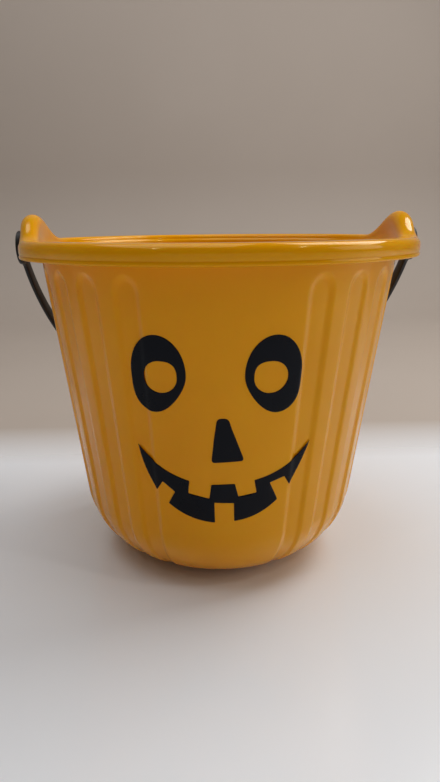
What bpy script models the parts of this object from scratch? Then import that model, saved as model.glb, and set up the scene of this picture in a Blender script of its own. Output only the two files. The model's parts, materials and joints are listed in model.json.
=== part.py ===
"""Child's sand bucket: a fluted, tapered pail with a channel rim and two pivot ears,
a swinging strap handle and four die-cut face stickers.

Frame: metres, +Z up, origin at the middle of the flat base, face of the bucket towards -Y.
The handle turns about an axis along X through both ears and is modelled hanging at the back.
"""
from math import asin, atan, atan2, copysign, cos, degrees, hypot, pi, radians, sin, sqrt, tan

import bmesh
import bpy
from mathutils import Vector

MM = 0.001

# ---- driving dimensions, in millimetres and degrees -------------------------------------
RIM_RADIUS = 105.0          # outside of the rim skirt
RIM_TOP = 175.5             # height of the rim above the table
SKIRT_DROP = 9.0            # how far the skirt hangs below the rim's top
SKIRT_WALL = 2.2            # thickness of the skirt and of the rim's roof
RIM_ROUND = 3.6             # rounding of the rim's outer top edge
RIM_NECK = 171.0            # height where the wall flares out into the rim
RIM_INSIDE = 96.4           # radius at which the rim's flat top begins
WALL_RADIUS_TOP = 94.0      # outside of the wall where it passes the skirt's lower edge
WALL_RADIUS_FOOT = 72.5     # the same wall line carried down to the table
WALL = 1.8                  # thickness of the wall
FLOOR = 2.2                 # thickness of the floor
CORNER = 42.0               # outer radius of the turn from wall to floor
TURN_STEPS = 126            # facets round the bucket

EAR_RISE = 13.4             # height of an ear above the rim
EAR_FOOT = 19.5             # degrees each side of X where an ear has run out into the rim
EAR_RADIUS = 104.8          # outside of an ear
EAR_ROUND = 5.4             # radius of an ear's full round top

PANEL_HALF = 27.0           # degrees from a plain panel's middle to the flute beside it
PANEL_FACETS = 9            # facets over that angle
FLUTE_FACETS = 5            # facets from one flute to the next
FLUTES_A_SIDE = 10
FLUTE_TURN = -1.4           # degrees the panels and flutes are turned about Z from the ears
FLUTE_HALF = 1.6            # half the width of a flute, in facets
FLUTE_EDGE = 0.8            # width of the slope at a flute's edge, in facets
FLUTE_DEPTH = 1.2
FLUTE_CROWN = 163.0         # top of a flute's round head
FLUTE_HEAD = 9.0            # height of that round head

PIVOT_HEIGHT = 171.2
PIVOT_HOLE = 3.7            # radius of the hole in each ear
PIN_RADIUS = 3.2
PIN_HEAD = 4.5              # radius of the snap head behind the ear's wall
PLAY = 0.4                  # clearance between the handle's end and the ear

STRAP_THICK = 2.2
STRAP_HALF = 3.4            # half the strap's width
EYE_RADIUS = 8.8            # round end of the strap about the pin
GRIP_HALF = 6.5             # half the width of the grip in the strap's middle
GRIP_SPAN = 38.0            # half the length of the grip, along the strap
BOW = 150.0                 # from the pivot axis to the strap's middle: half of an ellipse
HANG = 36.0                 # degrees the resting handle stands away from straight down

STICKER_WRAP = 85.0         # wall radius at which a sticker's widths are given
STICKER_GAP = 0.3
STICKER_THICK = 0.4
EYE_APART = 25.2            # half the distance between the eyes, round the wall
EYE_SHIFT = -2.1            # the eyes sit a little to the left of the mouth's middle
FACE_SHIFT = -3.8           # the whole face is this far round the wall from the front
STICKER_STRIP = 4.0         # width of the facets that follow the round wall

TAPER = atan((WALL_RADIUS_TOP - WALL_RADIUS_FOOT) / (RIM_TOP - SKIRT_DROP))


# ---- scene helpers ----------------------------------------------------------------------
def clear_scene():
    for item in list(bpy.data.objects):
        bpy.data.objects.remove(item, do_unlink=True)
    for group in list(bpy.data.collections):
        bpy.data.collections.remove(group)


def new_collection(name):
    group = bpy.data.collections.new(name)
    bpy.context.scene.collection.children.link(group)
    return group


def material(name, colour, roughness):
    """A moulded or printed plastic: a plain Principled BSDF."""
    mat = bpy.data.materials.new(name)
    mat.use_nodes = True
    shader = mat.node_tree.nodes["Principled BSDF"]
    shader.inputs["Base Color"].default_value = (*colour, 1.0)
    shader.inputs["Roughness"].default_value = roughness
    shader.inputs["Metallic"].default_value = 0.0
    return mat


def add_object(name, data, group):
    item = bpy.data.objects.new(name, data)
    group.objects.link(item)
    return item


def as_cutter(item):
    item.hide_render = True
    item.display_type = "WIRE"
    return item


def boolean(item, other, operation):
    step = item.modifiers.new(operation.title(), "BOOLEAN")
    step.object = other
    step.operation = operation
    step.solver = "EXACT"


def turned(name, profile, steps, group):
    """A profile of (radius, height) in mm, turned about Z by a Screw modifier."""
    mesh = bpy.data.meshes.new(name)
    points = [(r * MM, 0.0, z * MM) for r, z in profile]
    mesh.from_pydata(points, [(i, i + 1) for i in range(len(points) - 1)], [])
    item = add_object(name, mesh, group)
    screw = item.modifiers.new("Screw", "SCREW")
    screw.steps = steps
    screw.render_steps = steps
    screw.use_merge_vertices = True
    screw.merge_threshold = 0.00001
    return item


def evaluated_mesh(item):
    graph = bpy.context.evaluated_depsgraph_get()
    return bpy.data.meshes.new_from_object(item.evaluated_get(graph))


def smooth_step(value):
    value = min(max(value, 0.0), 1.0)
    return value * value * (3.0 - 2.0 * value)


def arc(centre, radius, start, end, steps):
    """Points on a circle from one angle to another, in degrees."""
    turn = [radians(start + (end - start) * i / steps) for i in range(steps + 1)]
    return [(centre[0] + radius * cos(a), centre[1] + radius * sin(a)) for a in turn]


# ---- bucket body ------------------------------------------------------------------------
def wall_radius(z):
    return WALL_RADIUS_FOOT + z * tan(TAPER)


def corner_centre():
    """Centre of the arc that touches both the table and the tapered wall."""
    touch = CORNER * (1.0 - sin(TAPER))
    return wall_radius(touch) - CORNER * cos(TAPER), CORNER


def rim_and_ear():
    """The rim's top from the bowl's inside to the skirt: each point's place in the plain rim,
    then its place in an ear, which rises from the rim's roof as a thumb with a round top."""
    lip = (wall_radius(RIM_NECK) - WALL / cos(TAPER), RIM_NECK)
    brow = arc((RIM_RADIUS - RIM_ROUND, RIM_TOP - RIM_ROUND), RIM_ROUND, 90.0, 0.0, 4)
    crown = [(RIM_INSIDE - 1.8, RIM_TOP - 1.3), (RIM_INSIDE, RIM_TOP)]
    crown += [(RIM_INSIDE + 1.25 * i, RIM_TOP) for i in (1, 2, 3)] + brow[:3]
    thumb = (EAR_RADIUS - EAR_ROUND, RIM_TOP + EAR_RISE - EAR_ROUND)
    ear = [(thumb[0] - EAR_ROUND, RIM_TOP + 2.5)]
    ear += arc(thumb, EAR_ROUND, 180.0, 0.0, 5) + [(EAR_RADIUS, RIM_TOP + 0.2)]
    return [(lip, lip)] + list(zip(crown, ear)) + [(point, point) for point in brow[3:]]


def roof_and_hollow():
    """The underside of the same stretch, from the skirt back to the wall; an ear is hollow."""
    inner = RIM_RADIUS - SKIRT_WALL
    under = RIM_TOP - SKIRT_WALL
    thumb = (EAR_RADIUS - EAR_ROUND, RIM_TOP + EAR_RISE - EAR_ROUND)
    roof = [(inner - 1.6 - i, under) for i in range(5)] + [(wall_radius(under) + 1.2, under)]
    hollow = [(inner - 0.8, RIM_TOP + 0.5)]
    hollow += arc(thumb, EAR_ROUND - SKIRT_WALL, 0.0, 180.0, 3)
    hollow += [(thumb[0] - EAR_ROUND + SKIRT_WALL, RIM_TOP)]
    edge = (inner, under - 1.6)
    root = (wall_radius(RIM_NECK), RIM_NECK)
    return [(edge, edge)] + list(zip(roof, hollow)) + [(root, root)]


def body_profile():
    """Section of the bowl and its channel rim, up the inside, over the rim and down the
    outside, as pairs of (radius, height): in the plain rim and in an ear."""
    centre = corner_centre()
    lean = -degrees(TAPER)
    shift = WALL / cos(TAPER)
    heights = (FLUTE_CROWN - FLUTE_HEAD, FLUTE_CROWN - 0.4 * FLUTE_HEAD, FLUTE_CROWN)
    inside = [(0.0, FLOOR)] + arc(centre, CORNER - FLOOR, -90.0, lean, 6)
    inside += [(wall_radius(z) - shift, z) for z in heights]
    hem = RIM_TOP - SKIRT_DROP
    skirt = [(RIM_RADIUS, hem + 0.6), (RIM_RADIUS - 0.6, hem), (RIM_RADIUS - SKIRT_WALL, hem)]
    outside = [(wall_radius(z), z) for z in reversed(heights)]
    outside += arc(centre, CORNER, lean, -90.0, 6) + [(0.0, 0.0)]
    pairs = [(point, point) for point in inside] + rim_and_ear()
    pairs += [(point, point) for point in skirt] + roof_and_hollow()
    return pairs + [(point, point) for point in outside]


def ear_share(theta):
    """How far the rim has grown into an ear at an angle about Z: one smooth hump a side."""
    off_axis = degrees(asin(min(1.0, abs(sin(theta)))))
    return smooth_step(1.0 - off_axis / EAR_FOOT)


def flute_depth(facets, z):
    """Depth at a number of facets from the panel's middle: flat-bottomed flutes with sloping
    edges and round heads, and none on the plain panels at the front and the back."""
    index = round((abs(facets) - PANEL_FACETS) / FLUTE_FACETS)
    index = min(max(index, 0), FLUTES_A_SIDE - 1)
    offset = abs(facets) - PANEL_FACETS - index * FLUTE_FACETS
    rise = max((z - FLUTE_CROWN + FLUTE_HEAD) / FLUTE_HEAD, 0.0)
    inside = FLUTE_HALF * (1.0 - hypot(offset / FLUTE_HALF, rise))
    return FLUTE_DEPTH * smooth_step(inside / FLUTE_EDGE)


def facet_angle(facets):
    """Degrees from the panel's middle: wider facets on the panels than across the flutes."""
    half_turn = TURN_STEPS / 2.0
    quarter = min(abs(facets), half_turn - abs(facets))
    if quarter <= PANEL_FACETS:
        angle = quarter * PANEL_HALF / PANEL_FACETS
    else:
        share = (half_turn / 2.0 - quarter) / (half_turn / 2.0 - PANEL_FACETS)
        angle = 90.0 - (90.0 - PANEL_HALF) * share
    return copysign(angle if abs(facets) <= half_turn / 2.0 else 180.0 - angle, facets)


def shape_body(mesh, pairs):
    """Sinks the flutes into the wall and grows the rim into the ears."""
    foot = corner_centre()[0]
    ears = {(round(rim[0], 2), round(rim[1], 2)): ear for rim, ear in pairs if rim != ear}
    for vertex in mesh.vertices:
        x, y, z = (value / MM for value in vertex.co)
        radius = hypot(x, y)
        facets = degrees(atan2(x, -y)) / 360.0 * TURN_STEPS
        theta = radians(facet_angle(facets) + FLUTE_TURN - 90.0)
        in_ear = ears.get((round(radius, 2), round(z, 2)))
        if in_ear:
            share = ear_share(theta)
            radius += (in_ear[0] - radius) * share
            z += (in_ear[1] - z) * share
        elif foot < radius < RIM_RADIUS - SKIRT_WALL - 0.1:
            fade = smooth_step((radius - foot) / (0.6 * CORNER))
            radius -= flute_depth(facets, z) * fade
        vertex.co = Vector((radius * cos(theta), radius * sin(theta), z)) * MM


def make_body(group, cutters):
    pairs = body_profile()
    blank = turned("body_blank", [rim for rim, ear in pairs], TURN_STEPS, cutters)
    mesh = evaluated_mesh(blank)
    bpy.data.objects.remove(blank, do_unlink=True)
    mesh.name = "bucket_body"
    shape_body(mesh, pairs)
    mesh.shade_smooth()
    mesh.set_sharp_from_angle(angle=radians(35.0))
    body = add_object("bucket_body", mesh, group)
    for side in (-1.0, 1.0):
        boolean(body, make_hole(side, cutters), "DIFFERENCE")
    body.data.materials.append(material("orange_polypropylene", (0.80, 0.33, 0.01), 0.25))
    return body


def make_hole(side, cutters):
    """A bore through the outer wall of one ear, along X."""
    mesh = bpy.data.meshes.new("pivot_hole")
    shape = bmesh.new()
    bmesh.ops.create_cone(shape, cap_ends=True, segments=24, radius1=PIVOT_HOLE * MM,
                          radius2=PIVOT_HOLE * MM, depth=12.0 * MM)
    shape.to_mesh(mesh)
    shape.free()
    item = as_cutter(add_object("pivot_hole", mesh, cutters))
    item.location = (side * (RIM_RADIUS + 1.0) * MM, 0.0, PIVOT_HEIGHT * MM)
    item.rotation_euler = (0.0, pi / 2.0, 0.0)
    return item


# ---- handle -----------------------------------------------------------------------------
def strap_line():
    """Stations along half the strap: (x, drop below the pivot, half width). The strap is half
    of an ellipse from ear to ear, with a round end about each pin and a wider grip."""
    inner = RIM_RADIUS + PLAY
    drops = [-EYE_RADIUS + 0.15 + i * 1.95 for i in range(9)]
    stations = [(inner, drop) for drop in drops]
    start = asin(EYE_RADIUS / BOW)
    steps = 24
    for i in range(steps + 1):
        turn = start + (pi / 2.0 - start) * i / steps
        stations.append((inner * cos(turn), BOW * sin(turn)))
    line = []
    for x, drop in stations:
        half = STRAP_HALF
        if drop < EYE_RADIUS - 0.1:
            half = max(STRAP_HALF * (drop > 0.0), sqrt(EYE_RADIUS ** 2 - drop ** 2))
        grip = smooth_step((GRIP_SPAN + 10.0 - x) / 14.0)
        line.append((x, drop, half + (GRIP_HALF - STRAP_HALF) * grip))
    return line


def strap_surface():
    """The inner face of the strap, hanging straight down from the pivot axis."""
    half_line = strap_line()
    full = half_line + [(-x, drop, half) for x, drop, half in reversed(half_line[:-1])]
    mesh = bpy.data.meshes.new("handle")
    points = []
    for x, drop, half in full:
        points += [(x * MM, across * half * MM, -drop * MM) for across in (-1.0, 0.0, 1.0)]
    faces = []
    for row in range(len(full) - 1):
        for column in range(2):
            low = row * 3 + column
            faces.append((low, low + 3, low + 4, low + 1))
    mesh.from_pydata(points, [], faces)
    return mesh


def make_pin(side, cutters):
    """A snap pin along X: shank through the ear, then a wider chamfered head."""
    tip = -8.0
    profile = [(0.0, 1.0), (PIN_RADIUS, 1.0), (PIN_RADIUS, -3.4), (PIN_HEAD, -4.2),
               (PIN_HEAD, -5.4), (PIN_RADIUS - 0.8, tip), (0.0, tip)]
    item = as_cutter(turned("snap_pin", profile, 24, cutters))
    item.location = (side * (RIM_RADIUS + PLAY) * MM, 0.0, PIVOT_HEIGHT * MM)
    item.rotation_euler = (0.0, side * pi / 2.0, 0.0)
    return item


def make_handle(group, cutters):
    handle = add_object("handle", strap_surface(), group)
    handle.location = (0.0, 0.0, PIVOT_HEIGHT * MM)
    handle.rotation_euler = (radians(HANG), 0.0, 0.0)
    solidify = handle.modifiers.new("Solidify", "SOLIDIFY")
    solidify.thickness = STRAP_THICK * MM
    solidify.offset = 1.0
    solidify.use_even_offset = True
    for side in (-1.0, 1.0):
        boolean(handle, make_pin(side, cutters), "UNION")
    handle.data.materials.append(material("black_polypropylene", (0.012, 0.011, 0.011), 0.45))
    return handle


# ---- stickers ---------------------------------------------------------------------------
def bowed(points):
    """A closed outline through (across, height, bow) points; bow is the arc's rise, left +."""
    outline = []
    for index, (x0, y0, bow) in enumerate(points):
        x1, y1 = points[(index + 1) % len(points)][:2]
        outline.append((x0, y0))
        if bow == 0.0:
            continue
        chord = hypot(x1 - x0, y1 - y0)
        steps = max(2, int(chord / 3.0))
        for i in range(1, steps):
            t = i / steps
            lift = bow * 4.0 * t * (1.0 - t)
            outline.append((x0 + (x1 - x0) * t - (y1 - y0) / chord * lift,
                            y0 + (y1 - y0) * t + (x1 - x0) / chord * lift))
    return outline


def egg(centre, half_width, up, down, lean, steps=32):
    """An egg outline: its own height above and below the centre, its low end leaning aside."""
    outline = []
    for i in range(steps):
        turn = 2.0 * pi * i / steps
        height = (up if sin(turn) > 0.0 else down) * sin(turn)
        aside = lean * smooth_step(-height / down)
        outline.append((centre[0] + half_width * cos(turn) + aside, centre[1] + height))
    return outline


def eye_outlines(side):
    """An egg with a hole that is round but for a blunt corner up towards the nose."""
    middle = side * EYE_APART + EYE_SHIFT
    rim = egg((middle, 119.5), 12.8, 17.6, 18.4, side * 2.6)
    hole = []
    for i in range(28):
        turn = 2.0 * pi * i / 28
        inward, up = cos(turn), sin(turn)
        power = 0.72 if inward > 0.0 and up > 0.0 else 1.0
        hole.append((middle - side * (1.2 + 7.6 * copysign(abs(inward) ** power, inward)),
                     118.0 + 7.4 * copysign(abs(up) ** power, up)))
    return [rim, hole]


NOSE = ((-2.2, 98.8, 0.0), (3.0, 98.8, 0.0), (5.0, 93.6, 0.0), (10.9, 80.0, 0.0),
        (9.4, 77.9, 0.0), (-3.4, 77.1, 0.0), (-4.6, 78.6, 0.0), (-3.7, 89.6, 0.0))

MOUTH = ((-40.0, 82.5, -2.4), (-15.2, 67.0, 0.0), (-15.9, 60.3, 0.0), (-5.4, 57.9, 0.0),
         (-4.3, 65.4, 0.0), (7.2, 65.8, 0.0), (9.1, 58.9, 0.0), (18.3, 60.4, 0.0),
         (16.9, 67.2, -2.9), (44.4, 83.2, 0.7), (35.9, 62.4, 0.0), (32.6, 67.4, 0.0),
         (24.9, 65.0, 0.0), (29.8, 55.4, 2.0), (7.3, 45.4, 0.0), (7.0, 55.4, 0.0),
         (-2.9, 55.7, 0.0), (-2.6, 44.7, 2.0), (-26.6, 53.8, 0.0), (-22.8, 60.4, 0.0),
         (-29.0, 65.3, 0.0), (-32.7, 60.2, 1.4))


def filled_outline(name, outlines):
    """A flat mesh (across, height) from closed outlines; inner ones are holes."""
    curve = bpy.data.curves.new(name, "CURVE")
    curve.dimensions = "2D"
    curve.fill_mode = "BOTH"
    for outline in outlines:
        spline = curve.splines.new("POLY")
        spline.points.add(len(outline) - 1)
        for point, (x, y) in zip(spline.points, outline):
            point.co = (x * MM, y * MM, 0.0, 1.0)
        spline.use_cyclic_u = True
    flat = bpy.data.objects.new(name, curve)
    bpy.context.scene.collection.objects.link(flat)
    mesh = evaluated_mesh(flat)
    bpy.data.objects.remove(flat, do_unlink=True)
    return mesh


def wrap_on_wall(mesh):
    """Cuts the flat mesh into narrow upright strips and lays it round the bucket's wall."""
    shape = bmesh.new()
    shape.from_mesh(mesh)
    bmesh.ops.remove_doubles(shape, verts=shape.verts, dist=0.00001)
    widths = [vertex.co.x / MM for vertex in shape.verts]
    first = int(min(widths) // STICKER_STRIP) + 1
    last = int(max(widths) // STICKER_STRIP)
    for strip in range(first, last + 1):
        everything = shape.verts[:] + shape.edges[:] + shape.faces[:]
        bmesh.ops.bisect_plane(shape, geom=everything, dist=0.000001,
                               plane_co=(strip * STICKER_STRIP * MM, 0.0, 0.0),
                               plane_no=(1.0, 0.0, 0.0))
    for vertex in shape.verts:
        across, height = vertex.co.x / MM, vertex.co.y / MM
        radius = wall_radius(height) + STICKER_GAP
        turn = (across + FACE_SHIFT) / STICKER_WRAP
        vertex.co = Vector((radius * sin(turn), -radius * cos(turn), height)) * MM
    bmesh.ops.recalc_face_normals(shape, faces=shape.faces)
    middle = shape.faces[0].calc_center_median()
    if shape.faces[0].normal.dot(Vector((middle.x, middle.y, 0.0))) < 0.0:
        bmesh.ops.reverse_faces(shape, faces=shape.faces)
    shape.to_mesh(mesh)
    shape.free()


def make_sticker(name, outlines, vinyl, group):
    mesh = filled_outline(name, outlines)
    wrap_on_wall(mesh)
    mesh.name = name
    mesh.materials.clear()
    mesh.materials.append(vinyl)
    sticker = add_object(name, mesh, group)
    solidify = sticker.modifiers.new("Solidify", "SOLIDIFY")
    solidify.thickness = STICKER_THICK * MM
    solidify.offset = 1.0
    return sticker


# ---- assembly ---------------------------------------------------------------------------
def build():
    clear_scene()
    group = new_collection("sand_bucket")
    cutters = new_collection("cutters")
    make_body(group, cutters)
    make_handle(group, cutters)
    vinyl = material("black_vinyl", (0.010, 0.011, 0.014), 0.35)
    make_sticker("left_eye_sticker", eye_outlines(-1.0), vinyl, group)
    make_sticker("right_eye_sticker", eye_outlines(1.0), vinyl, group)
    make_sticker("nose_sticker", [bowed(NOSE)], vinyl, group)
    make_sticker("mouth_sticker", [bowed(MOUTH)], vinyl, group)


build()
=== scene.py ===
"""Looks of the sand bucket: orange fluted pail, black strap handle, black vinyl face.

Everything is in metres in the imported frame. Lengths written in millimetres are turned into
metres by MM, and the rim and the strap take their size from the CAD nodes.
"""
import json
from math import asin, atan, atan2, ceil, copysign, cos, degrees, hypot, pi, radians, sin, sqrt

import bmesh
import bpy
from mathutils import Matrix, Vector
from mathutils.geometry import tessellate_polygon


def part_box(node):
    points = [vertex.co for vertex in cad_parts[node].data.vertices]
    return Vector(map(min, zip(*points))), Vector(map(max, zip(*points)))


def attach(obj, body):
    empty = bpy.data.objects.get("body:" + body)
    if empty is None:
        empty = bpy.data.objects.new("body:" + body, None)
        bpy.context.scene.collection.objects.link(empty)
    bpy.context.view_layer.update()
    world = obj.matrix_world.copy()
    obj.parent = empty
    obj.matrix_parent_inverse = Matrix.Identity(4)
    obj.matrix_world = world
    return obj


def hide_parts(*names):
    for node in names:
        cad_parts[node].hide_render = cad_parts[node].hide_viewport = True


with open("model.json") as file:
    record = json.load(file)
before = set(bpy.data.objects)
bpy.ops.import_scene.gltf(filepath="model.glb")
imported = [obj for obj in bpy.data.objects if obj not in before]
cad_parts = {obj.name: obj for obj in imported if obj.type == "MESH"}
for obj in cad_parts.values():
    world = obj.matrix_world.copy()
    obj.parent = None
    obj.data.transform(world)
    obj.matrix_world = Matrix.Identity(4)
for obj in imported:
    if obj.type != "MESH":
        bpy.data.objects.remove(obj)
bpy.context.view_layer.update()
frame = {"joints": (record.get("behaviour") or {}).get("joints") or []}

MM = 0.001

# ---- sizes read from the frame ----------------------------------------------------------
BODY_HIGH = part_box("bucket_body")[1]
HANDLE_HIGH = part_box("handle")[1]
SWING = next(joint for joint in frame["joints"] if joint["name"] == "handle_swing")
PIVOT_HEIGHT = SWING["pos_m"][2] / MM
EAR_TOP = BODY_HIGH[2] / MM

# ---- strap, in millimetres and degrees --------------------------------------------------
STRAP_THICK = 2.2
STRAP_INNER = HANDLE_HIGH[0] / MM - STRAP_THICK     # from the middle to the strap's inner face
STRAP_HALF = 3.4            # half the strap's width
STRAP_EDGE = 0.45           # rounding of the strap's edges, and depth of the field between beads
BEAD = 1.1                  # width of the raised bead along each edge
EYE_RADIUS = 8.8            # round end about the pin
GRIP_HALF = 6.5             # half the width of the grip
GRIP_SPAN = 38.0            # half the length of the grip
GRIP_FADE = 14.0            # length over which the grip narrows to the strap
BOW = 150.0                 # from the pivot axis to the strap's middle
HANG = 36.0                 # degrees the resting handle stands away from straight down
PLAY = 0.4                  # clearance between the strap's end and the ear
PIVOT_HOLE = 3.7
PIN_PROFILE = ((0.0, 0.6), (3.2, 0.6), (3.2, -3.4), (4.3, -4.0), (4.5, -4.4), (4.5, -5.0),
               (4.2, -5.5), (2.7, -7.6), (2.3, -7.9), (0.0, -7.9))
PIN_SLIT = (1.2, 12.0, 7.0)     # size of the slit that splits the pin
PIN_SLIT_MIDDLE = -6.5

# ---- bucket moulding, in millimetres and degrees ----------------------------------------
RIM_RADIUS = STRAP_INNER - PLAY
RIM_TOP = 175.5
RIM_ROUND = 3.6             # rounding of the rim's outer top edge
LIP_LOW = 170.6             # height where the bowl's lip starts to round over into the rim
LIP_ROUND = 3.0
LIP_OUT = 97.1              # radius where the lip's rounding ends on the rim's flat top
ROOF_ROOT = 169.0           # height where the rim's underside meets the wall
SKIRT_DROP = 9.0
SKIRT_WALL = 2.2
BEADING = 0.25              # depth of the thin groove above the skirt's lower edge
WALL_RADIUS_TOP = 94.0      # outside of the wall where it passes the skirt's lower edge
WALL_RADIUS_FOOT = 72.5     # the same wall line carried down to the table
WALL_SLOPE = (WALL_RADIUS_TOP - WALL_RADIUS_FOOT) / (RIM_TOP - SKIRT_DROP)
TAPER = atan(WALL_SLOPE)
WALL = 1.8
FLOOR = 2.2
CORNER = 42.0               # outer radius of the turn from wall to floor
FOOT_RING = 34.0            # inner edge of the ring that the bucket stands on
RECESS = 0.6                # depth of the recess inside that ring
GATE = 4.7                  # radius of the gate mark in the middle of the recess
EAR_FOOT = 19.5             # degrees each side of X where an ear has run out into the rim
EAR_RADIUS = 104.8
EAR_ROUND = 5.4
PANEL_HALF = 27.0           # degrees from a plain panel's middle to the flute beside it
FLUTE_TURN = -1.4           # degrees the panels and flutes are turned from the ears
FLUTES_A_SIDE = 10
FLUTE_HALF = 4.5            # degrees
FLUTE_EDGE = 2.0            # width of the slope at a flute's edge, in degrees
FLUTE_DEPTH = 1.2
FLUTE_CROWN = 163.0         # top of a flute's round head
FLUTE_HEAD = 9.0            # height of that round head

# ---- stickers, in millimetres -----------------------------------------------------------
VINYL_THICK = 0.12
VINYL_LIFT = 0.04
STICKER_WRAP = 85.0         # wall radius at which a sticker's widths are given
FACE_SHIFT = -3.8           # the whole face is this far round the wall from the front
EYE_APART = 25.2            # half the distance between the eyes
EYE_SHIFT = -2.1            # the eyes sit a little to the left of the mouth's middle
EYE_HEIGHT = 119.5
EYE_HALF_WIDTH = 12.8
EYE_UP = 17.6               # from the eye's middle to its top
EYE_DOWN = 18.4             # from the eye's middle to its foot
EYE_LEAN = 2.6              # how far an eye's foot leans outwards
HOLE_HEIGHT = 118.0
HOLE_HALF_WIDTH = 7.6
HOLE_HALF_HEIGHT = 7.4
HOLE_INWARD = 1.2           # how far the hole sits towards the nose
HOLE_BLUNT = 0.72           # below 1, the hole's upper inner quarter is squarer than a circle

# Corners of the nose and the mouth as (across, height, bow of the edge that follows).
NOSE = ((-1.5, 99.2, 0.0), (3.6, 99.2, 0.0), (5.4, 93.6, 0.0), (11.5, 77.8, 0.0),
        (-4.2, 76.9, 0.0), (-2.8, 89.6, 0.0))

MOUTH = ((-41.1, 83.2, -2.4), (-15.2, 67.0, 0.0), (-15.9, 60.3, 0.0), (-5.4, 57.9, 0.0),
         (-4.3, 65.4, 0.0), (7.2, 65.8, 0.0), (9.1, 58.9, 0.0), (18.3, 60.4, 0.0),
         (16.9, 67.2, -2.9), (45.8, 84.0, 0.7), (35.9, 62.4, 0.0), (32.6, 67.4, 0.0),
         (24.9, 65.0, 0.0), (29.8, 55.4, 2.0), (7.3, 45.4, 0.0), (7.0, 55.4, 0.0),
         (-2.9, 55.7, 0.0), (-2.6, 44.7, 2.0), (-26.6, 53.8, 0.0), (-22.8, 60.4, 0.0),
         (-29.0, 65.3, 0.0), (-32.7, 60.2, 1.4))

NOSE_ROUND = 2.0
MOUTH_ROUND = 0.5

ROUND_STEPS = 600


# ---- small helpers ----------------------------------------------------------------------
def smooth_step(value):
    value = min(max(value, 0.0), 1.0)
    return value * value * (3.0 - 2.0 * value)


def arc(centre, radius, start, end, steps):
    """Points on a circle from one angle to another, in degrees."""
    turns = [radians(start + (end - start) * i / steps) for i in range(steps + 1)]
    return [(centre[0] + radius * cos(a), centre[1] + radius * sin(a)) for a in turns]


def spread(points, count):
    """The same open outline with its points evenly spaced."""
    lengths = [0.0]
    for (x0, y0), (x1, y1) in zip(points, points[1:]):
        lengths.append(lengths[-1] + hypot(x1 - x0, y1 - y0))
    result = []
    piece = 0
    for i in range(count):
        along = lengths[-1] * i / (count - 1)
        while piece < len(points) - 2 and lengths[piece + 1] < along:
            piece += 1
        t = (along - lengths[piece]) / (lengths[piece + 1] - lengths[piece])
        result.append(tuple(p + (q - p) * t for p, q in zip(points[piece], points[piece + 1])))
    return result


def finish_piece(piece, body, slot, *nodes):
    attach(piece, body)
    if nodes:
        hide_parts(*nodes)


def add_mesh(name, points, faces, mat, sharp):
    mesh = bpy.data.meshes.new(name)
    mesh.from_pydata(points, [], faces)
    mesh.validate()
    mesh.materials.append(mat)
    mesh.shade_smooth()
    mesh.set_sharp_from_angle(angle=radians(sharp))
    item = bpy.data.objects.new(name, mesh)
    bpy.context.scene.collection.objects.link(item)
    return item


# ---- procedural materials ---------------------------------------------------------------
class Nodes:
    """A few lines of sugar for wiring a Principled material."""

    def __init__(self, name):
        self.mat = bpy.data.materials.new(name)
        self.mat.use_nodes = True
        self.tree = self.mat.node_tree
        self.shader = self.tree.nodes["Principled BSDF"]
        self.place = self.add("ShaderNodeTexCoord").outputs["Object"]

    def add(self, kind, **settings):
        node = self.tree.nodes.new(kind)
        for key, value in settings.items():
            setattr(node, key, value)
        return node

    def link(self, out, into):
        self.tree.links.new(out, into)

    def scaled(self, x, y, z):
        node = self.add("ShaderNodeMapping")
        node.inputs["Scale"].default_value = (x, y, z)
        self.link(self.place, node.inputs["Vector"])
        return node.outputs["Vector"]

    def noise(self, scale, detail=3.0, rough=0.5, vector=None):
        node = self.add("ShaderNodeTexNoise")
        node.inputs["Scale"].default_value = scale
        node.inputs["Detail"].default_value = detail
        node.inputs["Roughness"].default_value = rough
        self.link(self.place if vector is None else vector, node.inputs["Vector"])
        return node.outputs["Fac"]

    def ramp(self, fac, *stops):
        node = self.add("ShaderNodeValToRGB")
        for element, (position, colour) in zip(node.color_ramp.elements, stops):
            element.position = position
            element.color = (*colour, 1.0)
        self.link(fac, node.inputs["Fac"])
        return node.outputs["Color"]

    def grey(self, fac, low, high, start=0.3, end=0.7):
        """A value that runs from low to high as fac runs from start to end."""
        node = self.add("ShaderNodeMapRange")
        node.inputs["From Min"].default_value = start
        node.inputs["From Max"].default_value = end
        node.inputs["To Min"].default_value = low
        node.inputs["To Max"].default_value = high
        self.link(fac, node.inputs["Value"])
        return node.outputs["Result"]

    def math(self, operation, a, b):
        node = self.add("ShaderNodeMath", operation=operation)
        self.link(a, node.inputs[0])
        self.link(b, node.inputs[1])
        return node.outputs["Value"]

    def mix(self, fac, a, b):
        node = self.add("ShaderNodeMix", data_type="RGBA")
        self.link(fac, node.inputs["Factor"])
        for socket, value in ((node.inputs[6], a), (node.inputs[7], b)):
            if isinstance(value, tuple):
                socket.default_value = (*value, 1.0)
            else:
                self.link(value, socket)
        return node.outputs[2]

    def bump(self, *layers):
        """Bump layers of (height, strength, distance in metres), one on the next."""
        normal = None
        for height, strength, distance in layers:
            node = self.add("ShaderNodeBump")
            node.inputs["Strength"].default_value = strength
            node.inputs["Distance"].default_value = distance
            self.link(height, node.inputs["Height"])
            if normal is not None:
                self.link(normal, node.inputs["Normal"])
            normal = node.outputs["Normal"]
        self.link(normal, self.shader.inputs["Normal"])

    def set(self, **values):
        for key, value in values.items():
            socket = self.shader.inputs[key.replace("_", " ")]
            if isinstance(value, (int, float, tuple)):
                socket.default_value = value
            else:
                self.link(value, socket)


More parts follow.
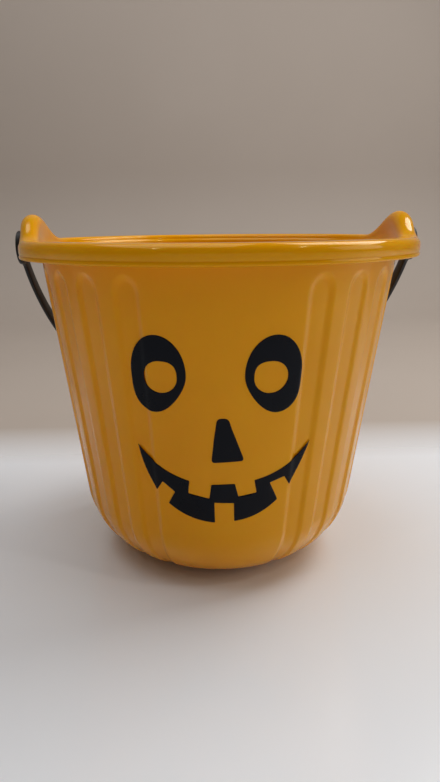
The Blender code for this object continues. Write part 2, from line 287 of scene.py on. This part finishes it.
def orange_plastic():
    """Glossy injection-moulded polypropylene: faint flow clouding, smears, orange peel."""
    nodes = Nodes("orange_polypropylene")
    cloud = nodes.noise(14.0, 3.0, 0.5)
    flow = nodes.noise(9.0, 4.0, 0.6, nodes.scaled(6.0, 6.0, 0.8))
    base = nodes.ramp(cloud, (0.30, (0.780, 0.335, 0.0)), (0.70, (0.840, 0.375, 0.0)))
    streak = nodes.grey(flow, 0.0, 0.20, 0.50, 0.78)
    colour = nodes.mix(streak, base, (0.880, 0.425, 0.003))
    smear = nodes.grey(nodes.noise(22.0, 4.0, 0.62), 0.0, 0.04)
    rough = nodes.math("ADD", nodes.grey(flow, 0.07, 0.10), smear)
    nodes.set(Base_Color=colour, Roughness=rough, IOR=1.49, Specular_IOR_Level=0.42,
              Specular_Tint=(1.0, 0.85, 0.40, 1.0),
              Subsurface_Weight=0.30, Subsurface_Radius=(1.0, 0.42, 0.02),
              Subsurface_Scale=0.006)
    peel = nodes.noise(900.0, 2.0)
    waves = nodes.noise(5.0, 2.0, 0.4, nodes.scaled(3.0, 3.0, 1.0))
    nodes.bump((waves, 0.25, 0.0005), (peel, 0.05, 0.00008))
    return nodes.mat


def black_plastic():
    """Satin black polypropylene with a light spark texture."""
    nodes = Nodes("black_polypropylene")
    dust = nodes.noise(60.0, 5.0, 0.65)
    colour = nodes.ramp(dust, (0.35, (0.0060, 0.0050, 0.0045)), (0.75, (0.016, 0.013, 0.011)))
    grain = nodes.noise(1400.0, 3.0, 0.6)
    rough = nodes.math("ADD", nodes.grey(dust, 0.36, 0.50), nodes.grey(grain, 0.0, 0.06))
    nodes.set(Base_Color=colour, Roughness=rough, IOR=1.49, Specular_IOR_Level=0.3)
    nodes.bump((grain, 0.22, 0.00006))
    return nodes.mat


def black_vinyl():
    """Calendered black film: bluish black, satin, with fine peel and a few dust marks."""
    nodes = Nodes("black_vinyl")
    cloud = nodes.noise(40.0, 4.0, 0.6)
    colour = nodes.ramp(cloud, (0.30, (0.0012, 0.0018, 0.0048)), (0.75, (0.0030, 0.0042, 0.0086)))
    rough = nodes.grey(cloud, 0.24, 0.34)
    peel = nodes.noise(1100.0, 2.0)
    waves = nodes.noise(60.0, 2.0)
    nodes.set(Base_Color=colour, Roughness=rough, IOR=1.50, Specular_IOR_Level=0.12)
    nodes.bump((waves, 0.10, 0.0002), (peel, 0.05, 0.00005))
    return nodes.mat


def floor_paint():
    """A pale, glossy table top that fades to the warm grey of the backdrop behind the bucket."""
    nodes = Nodes("pale_floor")
    cloud = nodes.noise(3.0, 4.0, 0.55)
    table = nodes.ramp(cloud, (0.3, (0.87, 0.89, 0.93)), (0.7, (0.90, 0.92, 0.96)))
    wall = nodes.ramp(cloud, (0.3, (0.47, 0.40, 0.345)), (0.7, (0.49, 0.42, 0.365)))
    apart = nodes.add("ShaderNodeSeparateXYZ")
    nodes.link(nodes.place, apart.inputs["Vector"])
    behind = nodes.grey(apart.outputs["Y"], 0.0, 1.0, 0.11, 0.20)
    colour = nodes.mix(behind, table, wall)
    rough = nodes.math("ADD", nodes.grey(cloud, 0.15, 0.20),
                       nodes.grey(apart.outputs["Y"], 0.0, 0.45, 0.11, 0.20))
    nodes.set(Base_Color=colour, Roughness=rough, IOR=1.50)
    nodes.bump((nodes.noise(260.0, 2.0), 0.02, 0.0002))
    return nodes.mat


ORANGE = orange_plastic()
BLACK = black_plastic()
VINYL = black_vinyl()


# ---- bucket body ------------------------------------------------------------------------
def wall_radius(z):
    return WALL_RADIUS_FOOT + z * WALL_SLOPE


def corner_centre():
    """Centre of the arc that touches both the table and the tapered wall."""
    touch = CORNER * (1.0 - sin(TAPER))
    return wall_radius(touch) - CORNER * cos(TAPER), CORNER


def ear_share(theta):
    """How far the rim has grown into an ear at an angle about Z: one smooth hump a side."""
    off_axis = degrees(asin(min(1.0, abs(sin(theta)))))
    return smooth_step(1.0 - off_axis / EAR_FOOT)


def flute_depth(theta, z):
    """Depth of the nearest flute at an angle about Z: a flat bottom, sloping edges, round head."""
    turn = theta + pi / 2.0 - radians(FLUTE_TURN)
    from_front = abs(degrees(atan2(sin(turn), cos(turn))))
    pitch = (180.0 - 2.0 * PANEL_HALF) / (FLUTES_A_SIDE - 1)
    index = min(max(round((from_front - PANEL_HALF) / pitch), 0), FLUTES_A_SIDE - 1)
    across = (from_front - PANEL_HALF - index * pitch) / FLUTE_HALF
    rise = max((z - FLUTE_CROWN + FLUTE_HEAD) / FLUTE_HEAD, 0.0)
    inside = FLUTE_HALF * (1.0 - hypot(across, rise))
    return FLUTE_DEPTH * smooth_step(inside / FLUTE_EDGE)


def wall_depth(theta, z, radius):
    """Flute depth on the wall and on the turn to the floor, where it fades out."""
    fade = smooth_step((radius - corner_centre()[0]) / (0.6 * CORNER))
    return flute_depth(theta, z) * fade


def rim_and_ear():
    """The rim's top from the bowl's lip to the skirt, plain and grown into a thumb-like ear."""
    low = (wall_radius(LIP_LOW) - WALL / cos(TAPER), LIP_LOW)
    centre = (RIM_RADIUS - RIM_ROUND, RIM_TOP - RIM_ROUND)
    brow = arc(centre, RIM_ROUND, 90.0, 30.0, 12)
    lip = [low, (wall_radius(LIP_LOW + 1.2) - 1.6, LIP_LOW + 1.2)]
    lip += arc((LIP_OUT, RIM_TOP - LIP_ROUND), LIP_ROUND, 172.0, 90.0, 12)
    thumb = (EAR_RADIUS - EAR_ROUND, EAR_TOP - EAR_ROUND)
    inner = thumb[0] - EAR_ROUND
    ear = [low, (inner - 0.6, LIP_LOW + 2.8), (inner - 0.1, LIP_LOW + 5.4)]
    ear += arc(thumb, EAR_ROUND, 180.0, 0.0, 28)
    ear += [(EAR_RADIUS + 0.1, RIM_TOP + 1.6), (EAR_RADIUS, RIM_TOP + 0.7)]
    ear += [(EAR_RADIUS - 0.35, RIM_TOP), (EAR_RADIUS - 0.4, RIM_TOP - 0.8), brow[-1]]
    return list(zip(spread(lip + brow, 56), spread(ear, 56)))


def roof_and_hollow():
    """The rim's underside from the skirt back to the wall, plain and inside a hollow ear."""
    inner = RIM_RADIUS - SKIRT_WALL
    under = RIM_TOP - SKIRT_WALL
    start = (inner, RIM_TOP - SKIRT_DROP + 2.0)
    root = (wall_radius(ROOF_ROOT), ROOF_ROOT)
    roof = [start] + arc((inner - 1.6, under - 1.6), 1.6, 0.0, 90.0, 5)
    roof += [(wall_radius(under) + 1.6, under), (wall_radius(under) + 0.4, under - 1.4), root]
    thumb = (EAR_RADIUS - EAR_ROUND, EAR_TOP - EAR_ROUND)
    hollow = [start, (inner, RIM_TOP - 2.0)] + arc(thumb, EAR_ROUND - 2.0, 0.0, 180.0, 12)
    hollow += [(thumb[0] - EAR_ROUND + 1.9, RIM_TOP), (thumb[0] - EAR_ROUND + 1.2, ROOF_ROOT + 4.0)]
    hollow.append(root)
    return list(zip(spread(roof, 32), spread(hollow, 32)))


def body_section():
    """The moulding's section up the inside and down the outside, as pairs of (radius, height):
    a point's place in the plain rim and its place in an ear."""
    centre = corner_centre()
    lean = -degrees(TAPER)
    inset = WALL / cos(TAPER)
    head = FLUTE_CROWN - FLUTE_HEAD
    spring = CORNER * (1.0 - sin(TAPER))
    heights = [spring + (head - spring) * i / 14 for i in range(1, 15)]
    heights += [head + FLUTE_HEAD * sin(pi / 2.0 * i / 14) for i in range(1, 15)]
    heights += [FLUTE_CROWN + 2.0, FLUTE_CROWN + 4.6]
    inside = [(0.0, FLOOR), (12.0, FLOOR), (24.0, FLOOR), (32.0, FLOOR)]
    inside += arc(centre, CORNER - FLOOR, -90.0, lean, 18)
    inside += [(wall_radius(z) - inset, z) for z in heights]
    hem = RIM_TOP - SKIRT_DROP
    skirt = arc((RIM_RADIUS - RIM_ROUND, RIM_TOP - RIM_ROUND), RIM_ROUND, 22.0, 0.0, 4)
    skirt += [(RIM_RADIUS, hem + 2.6), (RIM_RADIUS - BEADING, hem + 2.25)]
    skirt += [(RIM_RADIUS - BEADING, hem + 1.75), (RIM_RADIUS, hem + 1.4), (RIM_RADIUS, hem + 0.6)]
    skirt += [(RIM_RADIUS - 0.2, hem + 0.15), (RIM_RADIUS - 0.7, hem)]
    skirt += [(RIM_RADIUS - SKIRT_WALL + 0.3, hem), (RIM_RADIUS - SKIRT_WALL, hem + 0.3)]
    outside = [(wall_radius(z), z) for z in reversed(heights)]
    outside += arc(centre, CORNER, lean, -90.0, 24)
    outside += [(FOOT_RING, 0.0), (FOOT_RING - 0.8, 0.25), (FOOT_RING - 1.4, 0.55)]
    outside += [(24.0, RECESS), (14.0, RECESS), (GATE + 0.5, RECESS), (GATE + 0.2, 0.45)]
    outside += [(GATE, 0.3), (2.0, 0.3), (1.6, 0.15), (0.0, 0.15)]
    pairs = [(point, point) for point in inside] + rim_and_ear()
    pairs += [(point, point) for point in skirt] + roof_and_hollow()
    return pairs + [(point, point) for point in outside]


def body_point(rim, ear, theta):
    radius, z = rim
    if rim != ear:
        share = ear_share(theta)
        radius += (ear[0] - radius) * share
        z += (ear[1] - z) * share
    elif radius < RIM_RADIUS - SKIRT_WALL - 0.1:
        radius -= wall_depth(theta, z, radius)
    return Vector((radius * cos(theta), radius * sin(theta), z)) * MM


def turned_body():
    """Sweeps the section round the axis, closing each end of it on the axis."""
    section = body_section()
    rings = section[1:-1]
    turns = [2.0 * pi * i / ROUND_STEPS for i in range(ROUND_STEPS)]
    points = [Vector((0.0, 0.0, section[0][0][1])) * MM]
    for rim, ear in rings:
        points += [body_point(rim, ear, theta) for theta in turns]
    points.append(Vector((0.0, 0.0, section[-1][0][1])) * MM)
    last = len(points) - 1
    base = last - ROUND_STEPS
    faces = []
    for i in range(ROUND_STEPS):
        j = (i + 1) % ROUND_STEPS
        faces.append((0, 1 + i, 1 + j))
        faces.append((last, base + j, base + i))
        for ring in range(len(rings) - 1):
            low = 1 + ring * ROUND_STEPS
            high = low + ROUND_STEPS
            faces.append((low + i, high + i, high + j, low + j))
    return points, faces


def bore_ears(body):
    """Cuts the pivot holes through the ears' outer walls."""
    for side in (-1.0, 1.0):
        mesh = bpy.data.meshes.new("bore")
        shape = bmesh.new()
        bmesh.ops.create_cone(shape, cap_ends=True, segments=48, radius1=PIVOT_HOLE * MM,
                              radius2=PIVOT_HOLE * MM, depth=12.0 * MM)
        shape.to_mesh(mesh)
        shape.free()
        bore = bpy.data.objects.new("bore", mesh)
        bpy.context.scene.collection.objects.link(bore)
        bore.location = (side * (RIM_RADIUS + 1.0) * MM, 0.0, PIVOT_HEIGHT * MM)
        bore.rotation_euler = (0.0, pi / 2.0, 0.0)
        cut = body.modifiers.new("Bore", "BOOLEAN")
        cut.object = bore
        cut.operation = "DIFFERENCE"
        cut.solver = "EXACT"
        bpy.context.view_layer.update()
        graph = bpy.context.evaluated_depsgraph_get()
        drilled = bpy.data.meshes.new_from_object(body.evaluated_get(graph))
        body.modifiers.clear()
        body.data = drilled
        bpy.data.objects.remove(bore, do_unlink=True)
    body.data.shade_smooth()
    body.data.set_sharp_from_angle(angle=radians(40.0))


def make_body():
    points, faces = turned_body()
    body = add_mesh("bucket_moulding", points, faces, ORANGE, 40.0)
    bore_ears(body)
    finish_piece(body, "bucket", "orange_plastic", "bucket_body")


# ---- handle -----------------------------------------------------------------------------
def strap_line():
    """Stations along half the strap, hanging straight down: (x, drop, half width, lean).
    Lean is the turn of the strap's outward normal from X towards down. The strap is half of
    an ellipse from ear to ear, with a round end about each pin and a wider grip."""
    rows = []
    rounds = 30
    for i in range(rounds + 1):
        drop = -EYE_RADIUS * cos(pi * 0.87 * i / rounds)
        disc = max(0.05, sqrt(max(0.0, EYE_RADIUS ** 2 - drop ** 2)))
        rows.append((STRAP_INNER, drop, disc if drop < 0.0 else necked(disc), 0.0))
    start = asin(rows[-1][1] / BOW)
    steps = 96
    for i in range(1, steps + 1):
        turn = start + (pi / 2.0 - start) * i / steps
        x, drop = STRAP_INNER * cos(turn), BOW * sin(turn)
        disc = sqrt(max(0.0, EYE_RADIUS ** 2 - drop ** 2))
        grip = smooth_step((GRIP_SPAN + 10.0 - x) / GRIP_FADE)
        half = necked(disc) + (GRIP_HALF - STRAP_HALF) * grip
        rows.append((x, drop, half, atan2(sin(turn) / BOW, cos(turn) / STRAP_INNER)))
    return rows


def necked(disc):
    """Half width where the strap grows out of its round end through a small fillet."""
    return 0.5 * (disc + STRAP_HALF + hypot(disc - STRAP_HALF, 0.9))


def strap_section(half):
    """The strap's section as (across, out): round corners and a raised bead along each edge."""
    bead = min(BEAD, half * 0.4)
    sink = STRAP_EDGE * min(1.0, half / STRAP_HALF)
    corner = min(STRAP_EDGE, half * 0.4)
    top = STRAP_THICK
    side = [(half - corner, 0.0), (half - 0.3 * corner, 0.3 * corner), (half, corner)]
    side += [(half, top - corner), (half - 0.3 * corner, top - 0.3 * corner)]
    side += [(half - corner, top), (half - bead, top)]
    side += [(half - bead - min(0.5, half * 0.2), top - sink)]
    return side + [(-across, out) for across, out in reversed(side)]


def strap_mesh(rows):
    """Lofts the section along the whole strap and closes both round ends."""
    whole = rows + [(-x, drop, half, pi - lean) for x, drop, half, lean in reversed(rows[:-1])]
    points, faces = [], []
    turn = Matrix.Rotation(radians(HANG), 4, "X")
    shift = Matrix.Translation((0.0, 0.0, PIVOT_HEIGHT * MM))
    for x, drop, half, lean in whole:
        outward = Vector((cos(lean), 0.0, -sin(lean)))
        for across, out in strap_section(half):
            local = Vector((x, across, -drop)) + outward * out
            points.append(shift @ turn @ (local * MM))
    count = len(strap_section(1.0))
    for row in range(len(whole) - 1):
        for i in range(count):
            j = (i + 1) % count
            low, high = row * count, (row + 1) * count
            faces.append((low + i, low + j, high + j, high + i))
    faces.append(tuple(reversed(range(count))))
    faces.append(tuple(range((len(whole) - 1) * count, len(whole) * count)))
    return points, faces


def snap_pin(side):
    """A split snap pin with a chamfered head, turned about X; local +Z points outwards."""
    mesh = bpy.data.meshes.new("pin")
    shape = bmesh.new()
    rings = []
    steps = 48
    for radius, z in PIN_PROFILE:
        if radius == 0.0:
            rings.append([shape.verts.new((0.0, 0.0, z * MM))] * steps)
            continue
        rings.append([shape.verts.new((radius * cos(2.0 * pi * i / steps) * MM,
                                       radius * sin(2.0 * pi * i / steps) * MM, z * MM))
                      for i in range(steps)])
    for upper, lower in zip(rings, rings[1:]):
        for i in range(steps):
            j = (i + 1) % steps
            corners = [upper[j], upper[i], lower[i], lower[j]]
            unique = [v for k, v in enumerate(corners) if v not in corners[:k]]
            shape.faces.new(unique)
    bmesh.ops.recalc_face_normals(shape, faces=shape.faces)
    shape.to_mesh(mesh)
    shape.free()
    pin = bpy.data.objects.new("handle_pin_left" if side < 0 else "handle_pin_right", mesh)
    bpy.context.scene.collection.objects.link(pin)
    slot_mesh = bpy.data.meshes.new("slit")
    slit = bmesh.new()
    bmesh.ops.create_cube(slit, size=1.0)
    bmesh.ops.scale(slit, vec=[size * MM for size in PIN_SLIT], verts=slit.verts)
    bmesh.ops.translate(slit, vec=(0.0, 0.0, PIN_SLIT_MIDDLE * MM), verts=slit.verts)
    slit.to_mesh(slot_mesh)
    slit.free()
    cutter = bpy.data.objects.new("slit", slot_mesh)
    bpy.context.scene.collection.objects.link(cutter)
    cut = pin.modifiers.new("Slit", "BOOLEAN")
    cut.object = cutter
    cut.solver = "EXACT"
    bpy.context.view_layer.update()
    graph = bpy.context.evaluated_depsgraph_get()
    split = bpy.data.meshes.new_from_object(pin.evaluated_get(graph))
    pin.modifiers.clear()
    pin.data = split
    bpy.data.objects.remove(cutter, do_unlink=True)
    place = Matrix.Translation((side * STRAP_INNER * MM, 0.0, PIVOT_HEIGHT * MM))
    split.transform(place @ Matrix.Rotation(side * pi / 2.0, 4, "Y"))
    split.materials.append(BLACK)
    split.shade_smooth()
    split.set_sharp_from_angle(angle=radians(35.0))
    return pin


def make_handle():
    points, faces = strap_mesh(strap_line())
    strap = add_mesh("handle_strap", points, faces, BLACK, 50.0)
    finish_piece(strap, "bail", "black_plastic", "handle")
    for side in (-1.0, 1.0):
        finish_piece(snap_pin(side), "bail", "black_plastic")


# ---- stickers ---------------------------------------------------------------------------
def bowed(points):
    """A closed outline through (across, height, bow) points; bow is the arc's rise, left +."""
    outline = []
    for index, (x0, y0, bow) in enumerate(points):
        x1, y1 = points[(index + 1) % len(points)][:2]
        outline.append((x0, y0))
        if bow == 0.0:
            continue
        chord = hypot(x1 - x0, y1 - y0)
        steps = max(4, int(chord / 1.0))
        for i in range(1, steps):
            t = i / steps
            lift = bow * 4.0 * t * (1.0 - t)
            outline.append((x0 + (x1 - x0) * t - (y1 - y0) / chord * lift,
                            y0 + (y1 - y0) * t + (x1 - x0) / chord * lift))
    return outline


def softened(outline, radius):
    """Rounds the corners of an outline as a cutting knife leaves them."""
    soft = []
    count = len(outline)
    for i in range(count):
        before, here, after = (Vector(outline[(i + k) % count]) for k in (-1, 0, 1))
        back, ahead = before - here, after - here
        turn = pi - back.angle(ahead)
        if turn < radians(14.0):
            soft.append(tuple(here))
            continue
        reach = min(radius, back.length * 0.45, ahead.length * 0.45)
        start, end = here + back.normalized() * reach, here + ahead.normalized() * reach
        for k in range(5):
            t = k / 4.0
            spot = start * (1 - t) ** 2 + here * 2 * t * (1 - t) + end * t ** 2
            soft.append(tuple(spot))
    return soft


def egg(centre, half_width, up, down, lean, steps=96):
    """An egg outline: its own height above and below the centre, its low end leaning aside."""
    outline = []
    for i in range(steps):
        turn = 2.0 * pi * i / steps
        height = (up if sin(turn) > 0.0 else down) * sin(turn)
        aside = lean * smooth_step(-height / down)
        outline.append((centre[0] + half_width * cos(turn) + aside, centre[1] + height))
    return outline


def eye_outlines(side):
    """An egg with a hole that is round but for a blunt corner up towards the nose."""
    middle = side * EYE_APART + EYE_SHIFT
    rim = egg((middle, EYE_HEIGHT), EYE_HALF_WIDTH, EYE_UP, EYE_DOWN, side * EYE_LEAN)
    hole = []
    for i in range(72):
        turn = 2.0 * pi * i / 72
        inward, up = cos(turn), sin(turn)
        power = HOLE_BLUNT if inward > 0.0 and up > 0.0 else 1.0
        across = HOLE_INWARD + HOLE_HALF_WIDTH * copysign(abs(inward) ** power, inward)
        height = HOLE_HEIGHT + HOLE_HALF_HEIGHT * copysign(abs(up) ** power, up)
        hole.append((middle - side * across, height))
    return [rim, hole]


def sticker_mesh(name, outlines):
    """Fills the outlines, cuts them into narrow strips and lays them on the fluted wall."""
    loops = [[Vector((x, y, 0.0)) for x, y in outline] for outline in outlines]
    flat = [point for loop in loops for point in loop]
    shape = bmesh.new()
    verts = [shape.verts.new(point) for point in flat]
    for triangle in tessellate_polygon(loops):
        shape.faces.new([verts[i] for i in triangle])
    lows = [min(p[k] for p in flat) for k in (0, 1)]
    highs = [max(p[k] for p in flat) for k in (0, 1)]
    for axis, step in ((0, 1.0), (1, 3.0)):
        normal = Vector((1.0, 0.0, 0.0)) if axis == 0 else Vector((0.0, 1.0, 0.0))
        for strip in range(ceil(lows[axis] / step), int(highs[axis] // step) + 1):
            everything = shape.verts[:] + shape.edges[:] + shape.faces[:]
            bmesh.ops.bisect_plane(shape, geom=everything, dist=0.001,
                                   plane_co=normal * strip * step, plane_no=normal)
    for vertex in shape.verts:
        across, height = vertex.co.x, vertex.co.y
        turn = (across + FACE_SHIFT) / STICKER_WRAP
        theta = turn - pi / 2.0
        radius = wall_radius(height) - flute_depth(theta, height) * 0.6 + VINYL_LIFT
        vertex.co = Vector((radius * cos(theta), radius * sin(theta), height)) * MM
    bmesh.ops.recalc_face_normals(shape, faces=shape.faces)
    face = shape.faces[0]
    middle = face.calc_center_median()
    if face.normal.dot(Vector((middle.x, middle.y, 0.0))) < 0.0:
        bmesh.ops.reverse_faces(shape, faces=shape.faces)
    mesh = bpy.data.meshes.new(name)
    shape.to_mesh(mesh)
    shape.free()
    return mesh


def make_sticker(node, outlines):
    mesh = sticker_mesh(node, outlines)
    mesh.materials.append(VINYL)
    mesh.shade_smooth()
    sticker = bpy.data.objects.new(node.replace("sticker", "vinyl"), mesh)
    bpy.context.scene.collection.objects.link(sticker)
    solid = sticker.modifiers.new("Film", "SOLIDIFY")
    solid.thickness = VINYL_THICK * MM
    solid.offset = 1.0
    finish_piece(sticker, "bucket", "black_vinyl", node)


def make_face():
    make_sticker("left_eye_sticker", eye_outlines(-1.0))
    make_sticker("right_eye_sticker", eye_outlines(1.0))
    make_sticker("nose_sticker", [softened(bowed(NOSE), NOSE_ROUND)])
    make_sticker("mouth_sticker", [softened(bowed(MOUTH), MOUTH_ROUND)])


# ---- floor, light and camera ------------------------------------------------------------
def make_floor():
    """A table top that sweeps up far behind the bucket into a plain backdrop."""
    half, front, back, radius, top = 2.4, -1.8, 1.1, 0.30, 2.2
    profile = [(front, 0.0), (back - radius, 0.0)]
    profile += [(back - radius + radius * sin(a), radius * (1.0 - cos(a)))
                for a in (pi / 2.0 * i / 12 for i in range(1, 13))]
    profile += [(back, top)]
    points = [(x, y, z) for y, z in profile for x in (-half, half)]
    faces = [(2 * i, 2 * i + 1, 2 * i + 3, 2 * i + 2) for i in range(len(profile) - 1)]
    floor = add_mesh("floor", points, faces, floor_paint(), 60.0)


def area_light(name, place, target, size, power, colour):
    light = bpy.data.lights.new(name, "AREA")
    light.shape = "RECTANGLE"
    light.size, light.size_y = size
    light.energy = power
    light.color = colour
    item = bpy.data.objects.new(name, light)
    bpy.context.scene.collection.objects.link(item)
    item.location = place
    aim = Vector(target) - Vector(place)
    item.rotation_euler = aim.to_track_quat("-Z", "Y").to_euler()


def make_lights():
    """A big soft key behind the right shoulder of the bucket, a wide light overhead, weak fills
    and two small lamps in front that only draw the glints along the rim."""
    aim = (0.0, 0.0, 0.08)
    area_light("key", (0.70, 0.30, 1.05), aim, (0.7, 0.7), 7.6, (1.0, 0.99, 0.97))
    area_light("overhead", (-0.35, 0.05, 1.6), aim, (1.5, 1.2), 10.0, (1.0, 1.0, 1.0))
    area_light("side", (1.2, -0.30, 0.55), aim, (0.7, 0.7), 2.6, (1.0, 0.97, 0.93))
    area_light("low", (0.0, -0.9, 0.06), (0.0, 0.0, 0.02), (1.2, 0.1), 0.18, (1.0, 0.97, 0.95))
    area_light("lamp_right", (0.62, -0.50, 0.95), aim, (0.035, 0.035), 0.5, (1.0, 0.96, 0.90))
    area_light("lamp_left", (-0.52, -0.58, 0.95), aim, (0.025, 0.025), 0.25, (1.0, 0.96, 0.90))
    world = bpy.data.worlds.new("studio")
    bpy.context.scene.world = world
    world.use_nodes = True
    ground = world.node_tree.nodes["Background"]
    ground.inputs["Color"].default_value = (0.50, 0.50, 0.50, 1.0)
    ground.inputs["Strength"].default_value = 0.21


def make_camera():
    """The eye stands in front of the face, a little above the rim, and looks down at it."""
    data = bpy.data.cameras.new("camera")
    data.sensor_width = 36.0
    data.lens = 27.62
    data.shift_x = 0.027
    data.clip_start = 0.01
    camera = bpy.data.objects.new("camera", data)
    bpy.context.scene.collection.objects.link(camera)
    turn, pitch, roll = radians(-1.5), 0.2716, 0.0107
    ahead = Vector((-sin(turn) * cos(pitch), cos(turn) * cos(pitch), -sin(pitch)))
    right = Vector((cos(turn), sin(turn), 0.0))
    up = right.cross(ahead)
    tilted_up = up * cos(roll) + right * sin(roll)
    tilted_right = right * cos(roll) - up * sin(roll)
    axes = Matrix((tilted_right, tilted_up, -ahead)).transposed().to_4x4()
    camera.matrix_world = Matrix.Translation((-0.01979, -0.33794, 0.18257)) @ axes
    bpy.context.scene.camera = camera
    bpy.context.scene.view_settings.view_transform = "Standard"


make_body()
make_handle()
make_face()
make_floor()
make_lights()
make_camera()
